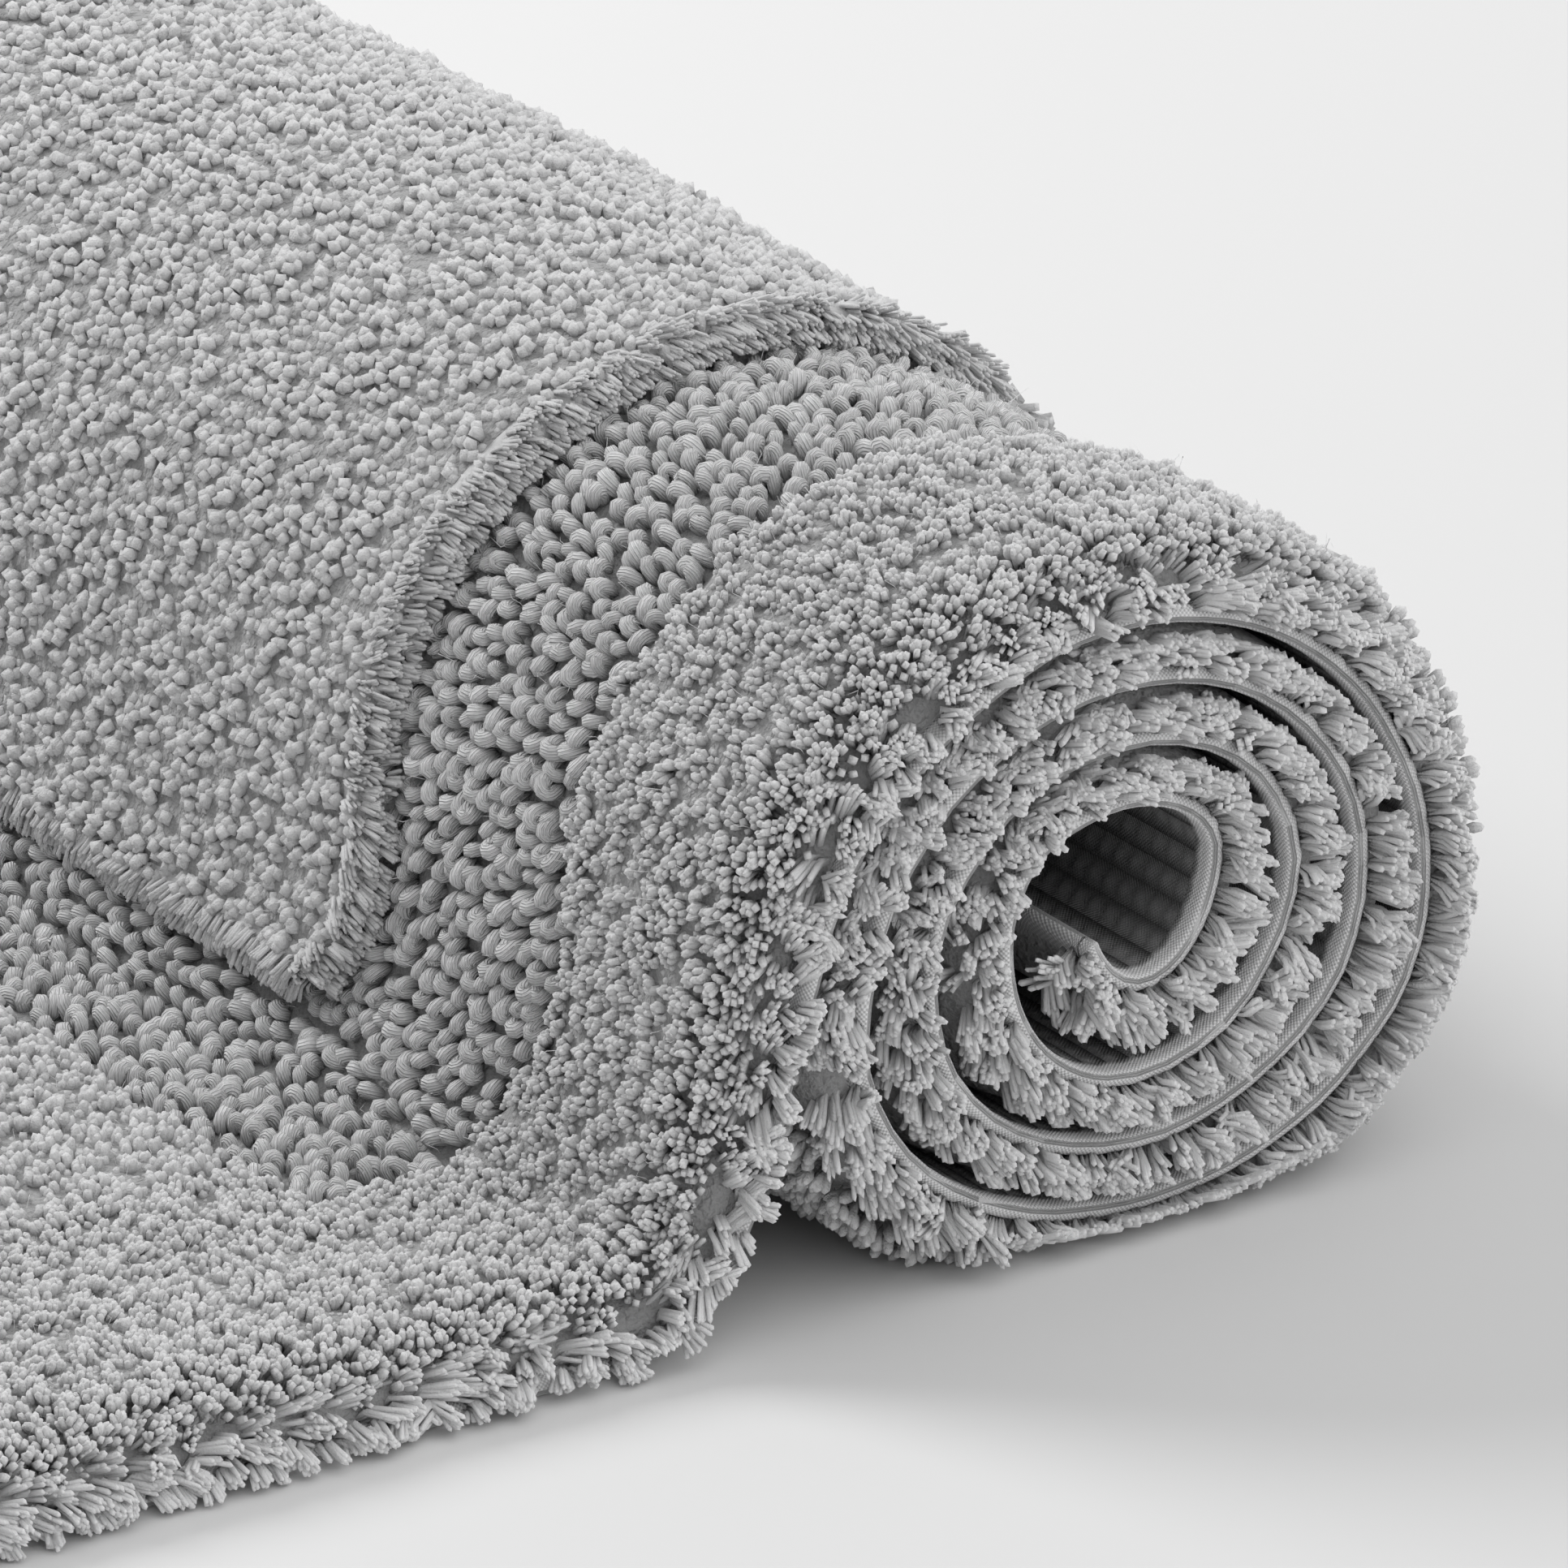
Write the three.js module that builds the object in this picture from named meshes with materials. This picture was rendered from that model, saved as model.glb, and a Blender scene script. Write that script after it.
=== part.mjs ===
// Rolled bath mat of tufted cotton. It is wound up from one end round an open core, pile outwards,
// and its last stretch comes down the side of the roll and lies flat on the floor, pile up.
// Millimetres, +Z up, floor at z = 0. X runs along the mat's length, Y across it, along the roll.
import * as THREE from 'three';

// The mat laid out flat. Distances along it start at the end inside the roll.
const LENGTH = 1016;
const WIDTH = 610;
const HEM_HEIGHT = 2.5;

// The turns of the mat's back, an egg that grows with each turn. A turn is 360 degrees, and angles
// are counted from +X towards +Z. The lower half is drawn in by the weight of the roll.
const INNER_ANGLE = 225;
const LEAVE_ANGLE = 1605;
const ANGLE_STEP = 12;
const CENTRE_Z = 59.9;
const CENTRE_SINK = 5.1;
const HALF_WIDTH = 8.8;
const HALF_WIDTH_GAIN = 15.4;
const HALF_WIDTH_EASE = 0.6;
const RISE = 4.2;
const RISE_GAIN = 14.9;
const DROP = 21.5;
const DROP_GAIN = 5.3;
const CORE_LIFT = 8;
const CORE_LIFT_TURNS = 0.35;

// The stretch from the last turn down to the floor, a curve with a pull at each end.
const FOOT_X = -93;
const LEAVE_PULL = 30;
const FOOT_PULL = 22;

// Pile. Each layer keeps this gap to the back of the next one out.
const LAYER_GAP = 0.8;
const LEAST_PILE = 5;
const UNEVEN_HEIGHT = 0.9;
const UNEVEN_LENGTH = 190;
const LUMP_HEIGHT = 0.45;

// The design on the pile side: a cut border, a band of loops as a frame, and a raised cut field.
const SIDE_BORDER = 60;
const END_BORDER = 108;
const DRIFT = -9;
const DRIFT_AT = 840;
const DRIFT_SPREAD = 20;
const RELIEF = [
  { depth: -6, height: 14.5 },
  { depth: 0, height: 10.5 },
  { depth: 7, height: 11.5 },
  { depth: 40, height: 12.5 },
  { depth: 46, height: 10.5 },
  { depth: 50, height: 16.5 },
  { depth: 110, height: 15.6 },
];

// The rim all round, from the hem outwards and up. Inset places its point along the hem itself,
// over is how far the pile hangs out past the hem, and share is the part of the pile's height.
const RIM = [
  { inset: 0, over: 0, share: 0 },
  { inset: 1.2, over: 2.6, share: 0.36 },
  { inset: 2.4, over: 2.2, share: 0.7 },
  { inset: 3.6, over: -3.6, share: 0.93 },
];
const RIM_CORNER = 0.55;

// Distances in from the sides and from the flat end at which the relief is cut into faces.
const SIDE_STATIONS = [14, 34, 54, 60, 67, 100, 106, 110, 150, 225];
const FLAT_END_STATIONS = [14, 34, 68, 102, 108, 115, 132, 148, 154, 158, 165, 173, 181, 189, 196];

function turnPoint(angle) {
  const turn = (angle - INNER_ANGLE) / 360;
  const radians = THREE.MathUtils.degToRad(angle);
  const across = HALF_WIDTH + HALF_WIDTH_GAIN * turn - HALF_WIDTH_EASE * turn * turn;
  const rise = RISE + RISE_GAIN * turn;
  const drop = DROP + DROP_GAIN * turn - CORE_LIFT * Math.exp(-turn / CORE_LIFT_TURNS);
  const reach = Math.sin(radians) >= 0 ? rise : drop;
  const z = CENTRE_Z - CENTRE_SINK * turn + reach * Math.sin(radians);
  return new THREE.Vector2(across * Math.cos(radians), z);
}

class Turns extends THREE.Curve {
  getPoint(t, target = new THREE.Vector2()) {
    return target.copy(turnPoint(THREE.MathUtils.lerp(INNER_ANGLE, LEAVE_ANGLE, t)));
  }
}

// The line of the mat's back in the roll's section, from the inner end to the flat end.
function makeSection() {
  const turns = new Turns();
  turns.arcLengthDivisions = 4000;
  const leave = turns.getPoint(1);
  const down = turns.getTangent(1);
  const foot = new THREE.Vector2(FOOT_X, 0);
  const rise = new THREE.CubicBezierCurve(
    leave,
    leave.clone().addScaledVector(down, LEAVE_PULL),
    new THREE.Vector2(FOOT_X + FOOT_PULL, 0),
    foot,
  );
  const rolled = turns.getLength() + rise.getLength();
  const flatEnd = new THREE.Vector2(FOOT_X - (LENGTH - rolled), 0);
  const section = new THREE.CurvePath();
  section.add(turns);
  section.add(rise);
  section.add(new THREE.LineCurve(foot, flatEnd));
  return { section, turns };
}

const { section, turns } = makeSection();
const END_DELTA = 0.5;

// A place on the back at a distance along the mat, with the direction in which the pile stands.
function station(distance) {
  const along = THREE.MathUtils.clamp(distance, 0, LENGTH);
  const before = section.getPoint(Math.max(along - END_DELTA, 0) / LENGTH);
  const after = section.getPoint(Math.min(along + END_DELTA, LENGTH) / LENGTH);
  const ahead = after.sub(before).normalize();
  const point = section.getPoint(along / LENGTH).addScaledVector(ahead, distance - along);
  return { distance, point, pileWay: new THREE.Vector2(ahead.y, -ahead.x) };
}

// Distances of the sections along the mat: even angles in the turns, then the listed ones.
function sectionDistances() {
  const last = Math.floor((LEAVE_ANGLE - INNER_ANGLE) / ANGLE_STEP);
  const fine = turns.getLengths(turns.arcLengthDivisions);
  const list = [];
  for (let i = 1; i <= last; i += 1) {
    const share = (i * ANGLE_STEP) / (LEAVE_ANGLE - INNER_ANGLE);
    list.push(fine[Math.round(share * turns.arcLengthDivisions)]);
  }
  const listed = FLAT_END_STATIONS.map((inward) => LENGTH - inward).reverse();
  const clear = list.filter((distance) => distance < listed[0] - RIM[3].inset);
  return clear.concat(listed);
}

// Room from a place on the back, along the pile, to the back of the next layer out.
function roomOutside(place, backLine) {
  let room = Infinity;
  for (let i = 0; i + 1 < backLine.length; i += 1) {
    const a = backLine[i].point;
    const edge = backLine[i + 1].point.clone().sub(a);
    const across = place.pileWay.cross(edge);
    const gap = a.clone().sub(place.point);
    const away = gap.cross(edge) / across;
    const share = gap.cross(place.pileWay) / across;
    if (away > 1 && share >= 0 && share <= 1) {
      room = Math.min(room, away);
    }
  }
  return room;
}

function reliefHeight(depth) {
  const next = RELIEF.findIndex((row) => row.depth > depth);
  if (next === 0) {
    return RELIEF[0].height;
  }
  if (next < 0) {
    return RELIEF[RELIEF.length - 1].height;
  }
  const [low, high] = [RELIEF[next - 1], RELIEF[next]];
  const share = (depth - low.depth) / (high.depth - low.depth);
  return THREE.MathUtils.lerp(low.height, high.height, share);
}

// The band wanders a little sideways where the mat comes down from the roll.
function sideDrift(distance) {
  return DRIFT * Math.exp(-(((distance - DRIFT_AT) / DRIFT_SPREAD) ** 2));
}

function freePile(distance, side, sideIn) {
  const endIn = Math.min(distance, LENGTH - distance);
  const relief = reliefHeight(Math.min(sideIn - SIDE_BORDER, endIn - END_BORDER));
  const uneven = UNEVEN_HEIGHT * Math.cos((side * 2 * Math.PI) / UNEVEN_LENGTH);
  const lump = LUMP_HEIGHT * Math.sin(distance * 0.61 + side * 0.23) * Math.cos(side * 0.37);
  return relief + uneven + lump;
}

// Columns across the mat: the rim, the listed stations, and the same mirrored.
function columns() {
  const near = RIM.map((rim) => ({ rim, inward: -rim.over, inset: rim.inset }));
  for (const inward of SIDE_STATIONS) {
    near.push({ rim: { share: 1, over: 0 }, inward, inset: inward });
  }
  const far = near.map((column) => ({ ...column, mirrored: true })).reverse();
  const middle = { rim: { share: 1, over: 0 }, inward: WIDTH / 2, inset: WIDTH / 2 };
  return [...near, middle, ...far];
}

// Rows along the mat, each with its place on the back.
function rows() {
  const rim = RIM.map((step) => ({ rim: step, distance: -step.over, inset: step.inset }));
  const inside = sectionDistances().filter((distance) => distance > RIM[3].inset + 1);
  const body = inside.map((distance) => ({
    rim: { share: 1, over: 0 },
    distance,
    inset: distance,
  }));
  const flatRim = RIM.map((step) => ({
    rim: step,
    distance: LENGTH + step.over,
    inset: LENGTH - step.inset,
  })).reverse();
  return [...rim, ...body, ...flatRim];
}

// The whole mat: a grid of pile points, a hem wall round it and the smooth back.
function makeMat() {
  const matRows = rows();
  const matColumns = columns();
  const lastRow = matRows.length - 1;
  const lastColumn = matColumns.length - 1;
  const backLine = matRows.map((row) => station(row.inset));
  const positions = [];
  const triangles = [];

  const addPoint = (place, side, height) => {
    const x = place.point.x + place.pileWay.x * height;
    const z = place.point.y + place.pileWay.y * height;
    positions.push(x, side - WIDTH / 2, Math.max(z, 0));
    return positions.length / 3 - 1;
  };

  const pile = matRows.map((row, i) => {
    const room = roomOutside(backLine[i], backLine) - LAYER_GAP;
    return matColumns.map((column, j) => {
      const onEndHem = i === 0 || i === lastRow;
      const onSideHem = j === 0 || j === lastColumn;
      const corner = row.rim.over > 0 && column.rim.over > 0 ? RIM_CORNER : 1;
      const drift = column.inward > 30 && column.inward < 120 ? sideDrift(row.distance) : 0;
      const inward = onEndHem ? column.inset : column.inward * corner + drift;
      const side = column.mirrored ? WIDTH - inward : inward;
      const along = row.distance + (corner - 1) * (row.distance < 0 ? row.distance : 0);
      const place = onSideHem ? backLine[i] : station(along);
      if (onEndHem || onSideHem) {
        return addPoint(place, side, HEM_HEIGHT);
      }
      const free = freePile(row.distance, side, column.inward);
      const full = Math.max(Math.min(free, room), LEAST_PILE);
      const share = Math.min(row.rim.share, column.rim.share);
      return addPoint(place, side, HEM_HEIGHT + (full - HEM_HEIGHT) * share);
    });
  });

  const quad = (a, b, c, d) => {
    triangles.push(a, b, c, a, c, d);
  };
  for (let i = 0; i < lastRow; i += 1) {
    for (let j = 0; j < lastColumn; j += 1) {
      quad(pile[i][j], pile[i][j + 1], pile[i + 1][j + 1], pile[i + 1][j]);
    }
  }

  const backRow = (i, list) => list.map((side) => addPoint(backLine[i], side, 0));
  const endSides = matColumns.map((c) => (c.mirrored ? WIDTH - c.inset : c.inset));
  const back = matRows.map((row, i) => {
    const wholeRow = i === 0 || i === lastRow;
    return backRow(i, wholeRow ? endSides : [0, WIDTH]);
  });
  for (let i = 0; i < lastRow; i += 1) {
    const [nearA, farA] = [back[i][0], back[i].at(-1)];
    const [nearB, farB] = [back[i + 1][0], back[i + 1].at(-1)];
    quad(nearA, pile[i][0], pile[i + 1][0], nearB);
    quad(farB, pile[i + 1][lastColumn], pile[i][lastColumn], farA);
    if (i > 0 && i < lastRow - 1) {
      quad(nearA, nearB, farB, farA);
    }
  }
  for (let j = 0; j < lastColumn; j += 1) {
    quad(back[0][j], back[0][j + 1], pile[0][j + 1], pile[0][j]);
    quad(back[lastRow][j], pile[lastRow][j], pile[lastRow][j + 1], back[lastRow][j + 1]);
    triangles.push(back[1][0], back[0][j + 1], back[0][j]);
    triangles.push(back[lastRow - 1][0], back[lastRow][j], back[lastRow][j + 1]);
  }
  triangles.push(back[1][0], back[1][1], back[0][lastColumn]);
  triangles.push(back[lastRow - 1][0], back[lastRow][lastColumn], back[lastRow - 1][1]);

  const geometry = new THREE.BufferGeometry();
  geometry.setAttribute('position', new THREE.Float32BufferAttribute(positions, 3));
  geometry.setIndex(triangles);
  return geometry;
}

const cotton = new THREE.MeshStandardMaterial({ color: 0xb4b5b6, roughness: 0.95, metalness: 0 });

const mat = new THREE.Mesh(makeMat(), cotton);
mat.name = 'mat';

// The origin is the middle of the footprint.
mat.geometry.computeBoundingBox();
const middle = mat.geometry.boundingBox.getCenter(new THREE.Vector3());
mat.geometry.translate(-middle.x, -middle.y, 0);

const group = new THREE.Group();
group.name = 'rolled_bath_mat';
group.add(mat);

export default group;
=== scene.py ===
# Rolled bath mat of tufted cotton, seen from close by at its near end.
# Sizes are in millimetres until MM turns them into metres. The mat is described as it lies flat:
# by the distance along it from its inner end, the distance across it from its near side, and the
# height above its back. lay() puts such a place where the rolled mat has it.
import math

import bpy
import numpy as np
from mathutils import Matrix, Vector


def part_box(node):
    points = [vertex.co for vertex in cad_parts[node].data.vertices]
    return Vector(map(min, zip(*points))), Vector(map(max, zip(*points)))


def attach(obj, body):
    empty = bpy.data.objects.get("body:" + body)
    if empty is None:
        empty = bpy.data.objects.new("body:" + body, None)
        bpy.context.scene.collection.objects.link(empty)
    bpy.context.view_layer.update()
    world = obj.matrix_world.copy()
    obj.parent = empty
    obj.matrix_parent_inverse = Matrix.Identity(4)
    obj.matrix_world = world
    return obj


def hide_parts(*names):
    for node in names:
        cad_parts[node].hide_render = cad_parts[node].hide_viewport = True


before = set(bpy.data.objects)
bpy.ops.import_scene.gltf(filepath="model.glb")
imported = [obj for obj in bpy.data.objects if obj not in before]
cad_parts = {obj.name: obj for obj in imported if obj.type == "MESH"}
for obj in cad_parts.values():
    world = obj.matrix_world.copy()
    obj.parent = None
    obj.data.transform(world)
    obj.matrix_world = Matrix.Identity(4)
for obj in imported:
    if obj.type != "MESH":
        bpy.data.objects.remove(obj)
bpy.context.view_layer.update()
MM = 0.001

# The mat and the line of its back, as in the solid.
LENGTH = 1016
WIDTH = 610
INNER_ANGLE = 225
LEAVE_ANGLE = 1605
CENTRE_Z = 59.9
CENTRE_SINK = 5.1
HALF_WIDTH = 8.8
HALF_WIDTH_GAIN = 15.4
HALF_WIDTH_EASE = 0.6
RISE = 4.2
RISE_GAIN = 14.9
DROP = 21.5
DROP_GAIN = 5.3
CORE_LIFT = 8
CORE_LIFT_TURNS = 0.35
FOOT_X = -93
LEAVE_PULL = 30
FOOT_PULL = 22
RIM_OVER = 2.6
TURN_STEPS = 12000
RISE_STEPS = 1200
LINE_STEPS = 4064

# The design, by depth in from the outer edge of the band of loops.
SIDE_BORDER = 60
END_BORDER = 108
BAND = 47
RELIEF_DEPTH = [-60, -45, -15, -6, 0, 7, 40, BAND - 1, BAND + 3, BAND + 63]
RELIEF_HEIGHT = [15.2, 14.8, 14.2, 13.4, 10.5, 11.5, 12.5, 10.5, 16.5, 15.6]
LAYER_GAP = 0.8
LEAST_PILE = 4.5
# The field's edge strays outwards by DRIFT beside the rise. The stray fades out towards the mat's
# edge and towards its middle, each by where that begins and how wide it is.
DRIFT = 9
DRIFT_AT = 840
DRIFT_SPREAD = 20
DRIFT_OUTER = (25, 15)
DRIFT_INNER = (140, 30)
# Low waves in the pile: a furrow across the mat, and swells by height, size and seed.
FURROW = 0.8
FURROW_STEP = 190
SWELLS = [(0.55, 26, 11), (0.45, 11, 12)]

# The hem, a rounded fold of the ground cloth. Inset is measured in from the edge.
HEM_INSET = [0, 0.3, 0.9, 1.8, 3.0]
HEM_TOP = [1.3, 2.2, 2.8, 3.0, 3.0]
HEM_BACK = [1.3, 0.5, 0.1, 0, 0]
SEWN = 3.0

# What the photograph shows of the mat. By distance along it: shut inside the roll, in view from
# HIDDEN at its near rim and from EXPOSED all over, and in view from close by. By distance across:
# how far the fine tips, field and loops go, and the strip in view under the roll.
HIDDEN = 500
EXPOSED = 560
SHOWN_FROM = 700
FINE_BORDER_SIDE = SIDE_BORDER + 12
FINE_FIELD_SIDE = 345
FINE_END_SIDE = 190
FINE_LOOP_SIDE = FINE_END_SIDE + 20
EDGE_SIDE = 34
EDGE_UNDER = 600
EDGE_UPPER_SHARE = 2.4

# Camera: its angles and lens, and the place at the roll's near end that it sees at AIM_PX.
YAW = math.radians(34)
PITCH = math.radians(23)
FOCAL_PX = 20000
FRAME_PX = 1932
SENSOR = 36
PX_PER_MM = 8.1
AIM_PX = (1392, 1147)
AIM_X = -0.8
AIM_Z = 50.5
CLIP_END = 50


# Chance and noise


def chance(i, j, seed):
    """An even spread of numbers from 0 to 1, one for each pair of whole numbers."""
    i = np.asarray(i).astype(np.int64).astype(np.uint64)
    j = np.asarray(j).astype(np.int64).astype(np.uint64)
    n = i * np.uint64(374761393) + j * np.uint64(668265263) + np.uint64(seed * 974634777)
    n = (n ^ (n >> np.uint64(13))) * np.uint64(1274126177)
    n = n ^ (n >> np.uint64(16))
    return (n & np.uint64(0xFFFFFF)).astype(float) / 0xFFFFFF


def swell(u, v, size, seed):
    """Smooth noise from -1 to 1, with bumps about size across."""
    u, v = np.asarray(u) / size, np.asarray(v) / size
    i, j = np.floor(u), np.floor(v)
    a, b = u - i, v - j
    a, b = a * a * (3 - 2 * a), b * b * (3 - 2 * b)
    low = chance(i, j, seed) * (1 - a) + chance(i + 1, j, seed) * a
    high = chance(i, j + 1, seed) * (1 - a) + chance(i + 1, j + 1, seed) * a
    return 2 * (low * (1 - b) + high * b) - 1


def nearest_clump(u, v, size, seed):
    """The way to the middle of the clump that each place belongs to, and the clump's number."""
    i, j = np.floor(u / size), np.floor(v / size)
    best = np.full(u.shape, np.inf)
    to_u, to_v, number = np.zeros(u.shape), np.zeros(u.shape), np.zeros(u.shape)
    for di in (-1, 0, 1):
        for dj in (-1, 0, 1):
            ci, cj = i + di, j + dj
            cu = (ci + 0.15 + 0.7 * chance(ci, cj, seed)) * size - u
            cv = (cj + 0.15 + 0.7 * chance(ci, cj, seed + 1)) * size - v
            far = np.hypot(cu, cv)
            closer = far < best
            best = np.where(closer, far, best)
            to_u, to_v = np.where(closer, cu, to_u), np.where(closer, cv, to_v)
            number = np.where(closer, chance(ci, cj, seed + 2), number)
    return to_u, to_v, best, number


# The rolled mat's back


def turn_point(angle):
    """Place of the back at an angle round the core, as x and z."""
    turn = (angle - INNER_ANGLE) / 360
    radians = np.radians(angle)
    across = HALF_WIDTH + HALF_WIDTH_GAIN * turn - HALF_WIDTH_EASE * turn**2
    rise = RISE + RISE_GAIN * turn
    drop = DROP + DROP_GAIN * turn - CORE_LIFT * np.exp(-turn / CORE_LIFT_TURNS)
    reach = np.where(np.sin(radians) >= 0, rise, drop)
    z = CENTRE_Z - CENTRE_SINK * turn + reach * np.sin(radians)
    return np.stack([across * np.cos(radians), z], -1)


def back_line():
    """Distance along, x, z and heading of the back, from the inner end to the flat end."""
    turns = turn_point(np.linspace(INNER_ANGLE, LEAVE_ANGLE, TURN_STEPS + 1))
    down = turns[-1] - turns[-2]
    down /= np.hypot(*down)
    leave, foot = turns[-1], np.array([FOOT_X, 0.0])
    t = np.linspace(0, 1, RISE_STEPS + 1)[1:, None]
    rise = (1 - t) ** 3 * leave + 3 * (1 - t) ** 2 * t * (leave + LEAVE_PULL * down)
    rise += 3 * (1 - t) * t**2 * (foot + [FOOT_PULL, 0]) + t**3 * foot
    line = np.vstack([turns, rise])
    walked = np.append(0, np.cumsum(np.hypot(*np.diff(line, axis=0).T)))
    flat_end = [FOOT_X - (LENGTH - walked[-1]), 0]
    line, walked = np.vstack([line, flat_end]), np.append(walked, LENGTH)
    along = np.linspace(0, LENGTH, LINE_STEPS + 1)
    x, z = np.interp(along, walked, line[:, 0]), np.interp(along, walked, line[:, 1])
    heading = np.unwrap(np.arctan2(np.gradient(z), np.gradient(x)))
    return along, x, z, heading


ALONG, LINE_X, LINE_Z, HEADING = back_line()
X_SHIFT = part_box("mat")[0].x / MM + RIM_OVER - LINE_X[-1]

# Distance along where the tips are, which the roll's turns spread apart.
TIP_AT = 11
LEAST_SPREAD = 0.35
CURVE = np.gradient(HEADING, ALONG)
SPREAD = np.append(0, np.cumsum(np.maximum(1 + TIP_AT * CURVE, LEAST_SPREAD)[1:] * np.diff(ALONG)))


def spread_at(along):
    """Distance along the mat, measured where the tips of its pile are."""
    return np.interp(along, ALONG, SPREAD) + (along - np.clip(along, 0, LENGTH))


def along_at(spread):
    """The inverse of spread_at."""
    return np.interp(spread, SPREAD, ALONG) + (spread - np.clip(spread, 0, SPREAD[-1]))


def ways(along):
    """Unit directions at a place: ahead along the mat, across it, and the way the pile stands."""
    heading = np.interp(along, ALONG, HEADING)
    none = np.zeros_like(heading)
    ahead = np.stack([np.cos(heading), none, np.sin(heading)], -1)
    across = np.stack([none, none + 1, none], -1)
    up = np.stack([np.sin(heading), none, -np.cos(heading)], -1)
    return ahead, across, up


def lay(along, side, height):
    """Points in the frame, in millimetres, never below the floor."""
    along, side, height = np.broadcast_arrays(along, side, height)
    inside = np.clip(along, 0, LENGTH)
    ahead, _, up = ways(inside)
    x = np.interp(inside, ALONG, LINE_X) + X_SHIFT
    z = np.interp(inside, ALONG, LINE_Z)
    point = np.stack([x, side - WIDTH / 2, z], -1)
    point = point + (along - inside)[..., None] * ahead + height[..., None] * up
    point[..., 2] = np.maximum(point[..., 2], 0)
    return point


STATION_STEP = 3.0
LINE_SKIP = 8
FREE = 99.0


def room_above():
    """How high the pile can stand before it meets the next layer or the floor."""
    stations = np.arange(0, LENGTH + 1, STATION_STEP)
    x, z = np.interp(stations, ALONG, LINE_X), np.interp(stations, ALONG, LINE_Z)
    _, _, up = ways(stations)
    ux, uz = up[:, 0, None], up[:, 2, None]
    ax, az = LINE_X[:-LINE_SKIP:LINE_SKIP], LINE_Z[:-LINE_SKIP:LINE_SKIP]
    bx, bz = LINE_X[LINE_SKIP::LINE_SKIP], LINE_Z[LINE_SKIP::LINE_SKIP]
    ex, ez = (bx - ax)[None], (bz - az)[None]
    gx, gz = ax[None] - x[:, None], az[None] - z[:, None]
    cross = ux * ez - uz * ex
    cross = np.where(np.abs(cross) < 1e-9, 1e-9, cross)
    away = (gx * ez - gz * ex) / cross
    share = (gx * uz - gz * ux) / cross
    met = (away > 1) & (share >= -0.01) & (share <= 1.01)
    room = np.where(met, away, FREE).min(1) - LAYER_GAP
    falls = up[:, 2] < -0.05
    floor = np.where(falls, z / np.where(falls, -up[:, 2], 1), FREE)
    return stations, np.minimum(room, floor)


ROOM_AT, ROOM = room_above()


def room_at(along):
    return np.interp(along, ROOM_AT, ROOM)


def inward(side):
    """Distance in from the nearer long side."""
    return np.minimum(side, WIDTH - side)


def inset_at(along, side):
    """Distance in from the nearest edge."""
    return np.minimum(inward(side), np.minimum(along, LENGTH - along))


def wander_at(along):
    """How far the field's edge strays outwards."""
    return DRIFT * np.exp(-(((along - DRIFT_AT) / DRIFT_SPREAD) ** 2))


def depth_at(along, side):
    """Distance in from the outer edge of the band of loops."""
    near = inward(side)
    outer = np.clip((near - DRIFT_OUTER[0]) / DRIFT_OUTER[1], 0, 1)
    inner = np.clip((DRIFT_INNER[0] - near) / DRIFT_INNER[1], 0, 1)
    wander = wander_at(along) * outer * inner
    end = np.minimum(along, LENGTH - along)
    return np.minimum(near + wander - SIDE_BORDER, end - END_BORDER)


def pile_height(along, side):
    """Height of the pile with its long swells, where nothing presses it."""
    height = np.interp(depth_at(along, side), RELIEF_DEPTH, RELIEF_HEIGHT)
    height = height + FURROW * np.cos(side * 2 * np.pi / FURROW_STEP)
    for depth, size, seed in SWELLS:
        height = height + depth * swell(spread_at(along), side, size, seed)
    return height


def top_height(along, side):
    """Height of the pile, pressed down where the next layer or the floor is close."""
    return np.maximum(np.minimum(pile_height(along, side), room_at(along)), LEAST_PILE)


# Zones of the mat


def in_band(along, side):
    depth = depth_at(along, side)
    return (depth > 0.4) & (depth < BAND + 1.5)


def in_border(along, side):
    return depth_at(along, side) + 0.7 * swell(along, side, 4, 51) < -0.3


def in_field(along, side):
    return depth_at(along, side) + 0.7 * swell(along, side, 4, 51) > BAND + 1.0


def edge_zone(along, side):
    """The strip along the near rim that shows below the roll."""
    reach = np.where(along < EDGE_UNDER, EDGE_SIDE, EDGE_SIDE / EDGE_UPPER_SHARE)
    return (along > HIDDEN) & (along <= SHOWN_FROM) & (side < reach)


def fine_zone(along, side):
    """Where the photograph shows the pile from close by."""
    end_part = (along > LENGTH - END_BORDER - 2) & (side < FINE_END_SIDE)
    field_part = (side < FINE_FIELD_SIDE) & (along < LENGTH - END_BORDER)
    close = (along > SHOWN_FROM) & ((side < FINE_BORDER_SIDE) | end_part | field_part)
    return close | edge_zone(along, side)


def far_zone(along, side):
    """Where the pile is seen only from afar, and is made of whole clumps."""
    return (along > EXPOSED) & ~fine_zone(along, side)


# Meshes


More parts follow.
